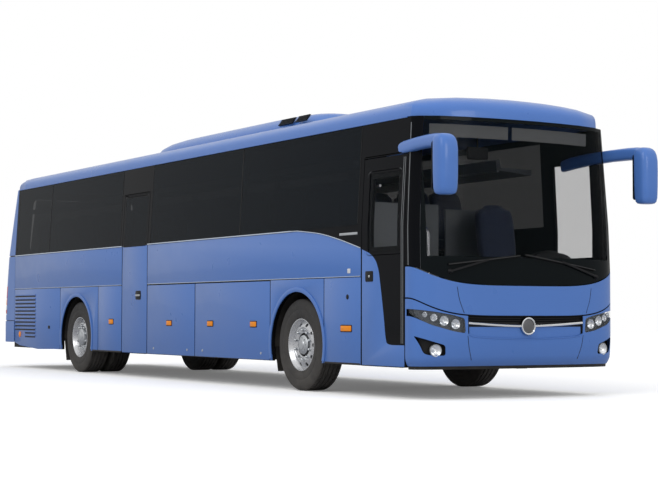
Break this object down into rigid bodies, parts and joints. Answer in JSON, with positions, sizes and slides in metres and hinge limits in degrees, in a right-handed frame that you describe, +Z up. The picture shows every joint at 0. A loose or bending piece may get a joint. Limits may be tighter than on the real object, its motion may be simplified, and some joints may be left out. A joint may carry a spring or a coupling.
{
  "type": "coach bus",
  "caption": "Single-deck coach bus: hollow cabin with dark glass, front and middle doors, underfloor luggage hold, steered front wheels, twin rear wheels, roof air conditioner and arm mirrors.",
  "frame": {"origin": "on the ground, under the middle of the bus's length (mirrors included) and width", "axes": "+X forward, +Y to the bus's left, +Z up"},
  "size_m": [12.888, 2.716, 3.265],
  "materials": {
    "blue_paint": "clear-coated blue, light polish",
    "black_paint": "gloss black",
    "frame_paint": "satin black chassis paint",
    "dark_glass": "dark tinted",
    "clear_glass": "light tinted windscreen",
    "lamp_glass": "clear lens",
    "red_lens": "red lens",
    "amber_lens": "amber lens",
    "black_plastic": "fine grain",
    "grey_plastic": "moulded grey",
    "floor_cover": "speckled vinyl",
    "seat_fabric": "woven blue",
    "tyre": "black rubber",
    "rubber": "black rubber",
    "steel_rim": "silver lacquer",
    "cast_iron": "painted casting",
    "grey_metal": "satin"
  },
  "bodies": {
    "body": {"front_chassis_frame": "frame_paint", "bay_chassis_frame": "frame_paint", "rear_chassis_frame": "frame_paint", "cabin_floor": "floor_cover", "luggage_bay": "grey_metal", "wheel_housings": "black_plastic", "roof_panel": "blue_paint", "right_side_wall": "blue_paint", "left_side_wall": "blue_paint", "rear_wall": "blue_paint", "front_mask": "blue_paint", "front_bumper": "blue_paint", "corner_pillars": "black_paint", "windshield": "clear_glass", "right_side_glass": "dark_glass", "left_side_glass": "dark_glass", "rear_window": "dark_glass", "grille": "black_plastic", "headlights": "lamp_glass", "fog_lights": "lamp_glass", "tail_lights": "red_lens", "side_markers": "amber_lens", "air_conditioner": "blue_paint", "mirrors": "blue_paint", "wipers": "black_plastic", "dashboard": "grey_plastic", "driver_seat": "seat_fabric", "passenger_seats": "seat_fabric", "luggage_racks": "grey_plastic", "partitions": "grey_plastic", "engine_block": "cast_iron", "fuel_tank": "frame_paint", "mudflaps": "rubber", "air_springs": "rubber", "front_axle": "cast_iron", "rear_axle": "cast_iron"},
    "steering_wheel": {"steering_wheel": "black_plastic"},
    "knuckle_left": {"knuckle_left": "cast_iron"},
    "knuckle_right": {"knuckle_right": "cast_iron"},
    "front_wheel_left": {"front_rim_left": "steel_rim", "front_tyre_left": "tyre"},
    "front_wheel_right": {"front_rim_right": "steel_rim", "front_tyre_right": "tyre"},
    "rear_wheels_left": {"rear_rims_left": "steel_rim", "rear_tyres_left": "tyre"},
    "rear_wheels_right": {"rear_rims_right": "steel_rim", "rear_tyres_right": "tyre"},
    "front_door_arm": {"front_door_arm": "grey_metal"},
    "front_door": {"front_door_leaf": "blue_paint", "front_door_glass": "dark_glass"},
    "mid_door_arm": {"mid_door_arm": "grey_metal"},
    "mid_door": {"mid_door_leaf": "blue_paint", "mid_door_glass": "dark_glass"},
    "luggage_flap_right_front": {"luggage_flap_right_front": "blue_paint"},
    "luggage_flap_right_rear": {"luggage_flap_right_rear": "blue_paint"},
    "luggage_flap_left_front": {"luggage_flap_left_front": "blue_paint"},
    "luggage_flap_left_rear": {"luggage_flap_left_rear": "blue_paint"},
    "engine_hatch": {"engine_hatch": "blue_paint"}
  },
  "joints": [
    {"name": "front_left_steer", "type": "hinge", "parent": "body", "child": "knuckle_left", "pos_m": [3.435, 0.9925, 0.512], "axis": [0, 0, 1], "range_deg": [-35, 35]},
    {"name": "front_right_steer", "type": "hinge", "parent": "body", "child": "knuckle_right", "pos_m": [3.435, -0.9925, 0.512], "axis": [0, 0, 1], "range_deg": [-35, 35]},
    {"name": "steering_wheel_turn", "type": "hinge", "parent": "body", "child": "steering_wheel", "pos_m": [5.315, 0.65, 1.42], "axis": [-0.4695, 0, 0.8829], "range_deg": [-560, 560]},
    {"name": "front_left_roll", "type": "hinge", "parent": "knuckle_left", "child": "front_wheel_left", "pos_m": [3.435, 1.0875, 0.512], "axis": [0, 1, 0], "continuous": true},
    {"name": "front_right_roll", "type": "hinge", "parent": "knuckle_right", "child": "front_wheel_right", "pos_m": [3.435, -1.0875, 0.512], "axis": [0, 1, 0], "continuous": true},
    {"name": "rear_left_roll", "type": "hinge", "parent": "body", "child": "rear_wheels_left", "pos_m": [-3.165, 1.0875, 0.512], "axis": [0, 1, 0], "continuous": true},
    {"name": "rear_right_roll", "type": "hinge", "parent": "body", "child": "rear_wheels_right", "pos_m": [-3.165, -1.0875, 0.512], "axis": [0, 1, 0], "continuous": true},
    {"name": "front_door_swing", "type": "hinge", "parent": "body", "child": "front_door_arm", "pos_m": [5.555, -1.14, 1.2], "axis": [0, 0, 1], "range_deg": [0, 140]},
    {"name": "front_door_leaf_turn", "type": "hinge", "parent": "front_door_arm", "child": "front_door", "pos_m": [5.115, -1.14, 1.2], "axis": [0, 0, 1], "range_deg": [-140, 0]},
    {"name": "mid_door_swing", "type": "hinge", "parent": "body", "child": "mid_door_arm", "pos_m": [-1.401, -1.14, 1.2], "axis": [0, 0, -1], "range_deg": [0, 140]},
    {"name": "mid_door_leaf_turn", "type": "hinge", "parent": "mid_door_arm", "child": "mid_door", "pos_m": [-0.961, -1.14, 1.2], "axis": [0, 0, -1], "range_deg": [-140, 0]},
    {"name": "flap_right_front_lift", "type": "hinge", "parent": "body", "child": "luggage_flap_right_front", "pos_m": [1.8, -1.27, 1.235], "axis": [-1, 0, 0], "range_deg": [0, 85]},
    {"name": "flap_right_rear_lift", "type": "hinge", "parent": "body", "child": "luggage_flap_right_rear", "pos_m": [0, -1.27, 1.235], "axis": [-1, 0, 0], "range_deg": [0, 85]},
    {"name": "flap_left_front_lift", "type": "hinge", "parent": "body", "child": "luggage_flap_left_front", "pos_m": [1.8, 1.27, 1.235], "axis": [1, 0, 0], "range_deg": [0, 85]},
    {"name": "flap_left_rear_lift", "type": "hinge", "parent": "body", "child": "luggage_flap_left_rear", "pos_m": [0, 1.27, 1.235], "axis": [1, 0, 0], "range_deg": [0, 85]},
    {"name": "engine_hatch_lift", "type": "hinge", "parent": "body", "child": "engine_hatch", "pos_m": [-6.33166, 0, 1.612], "axis": [0, 1, 0], "range_deg": [0, 60]}
  ],
  "couplings": [
    {"joint": "front_right_steer", "follows": "front_left_steer", "ratio": 1},
    {"joint": "steering_wheel_turn", "follows": "front_left_steer", "ratio": 16},
    {"joint": "front_door_leaf_turn", "follows": "front_door_swing", "ratio": -1},
    {"joint": "mid_door_leaf_turn", "follows": "mid_door_swing", "ratio": -1}
  ]
}
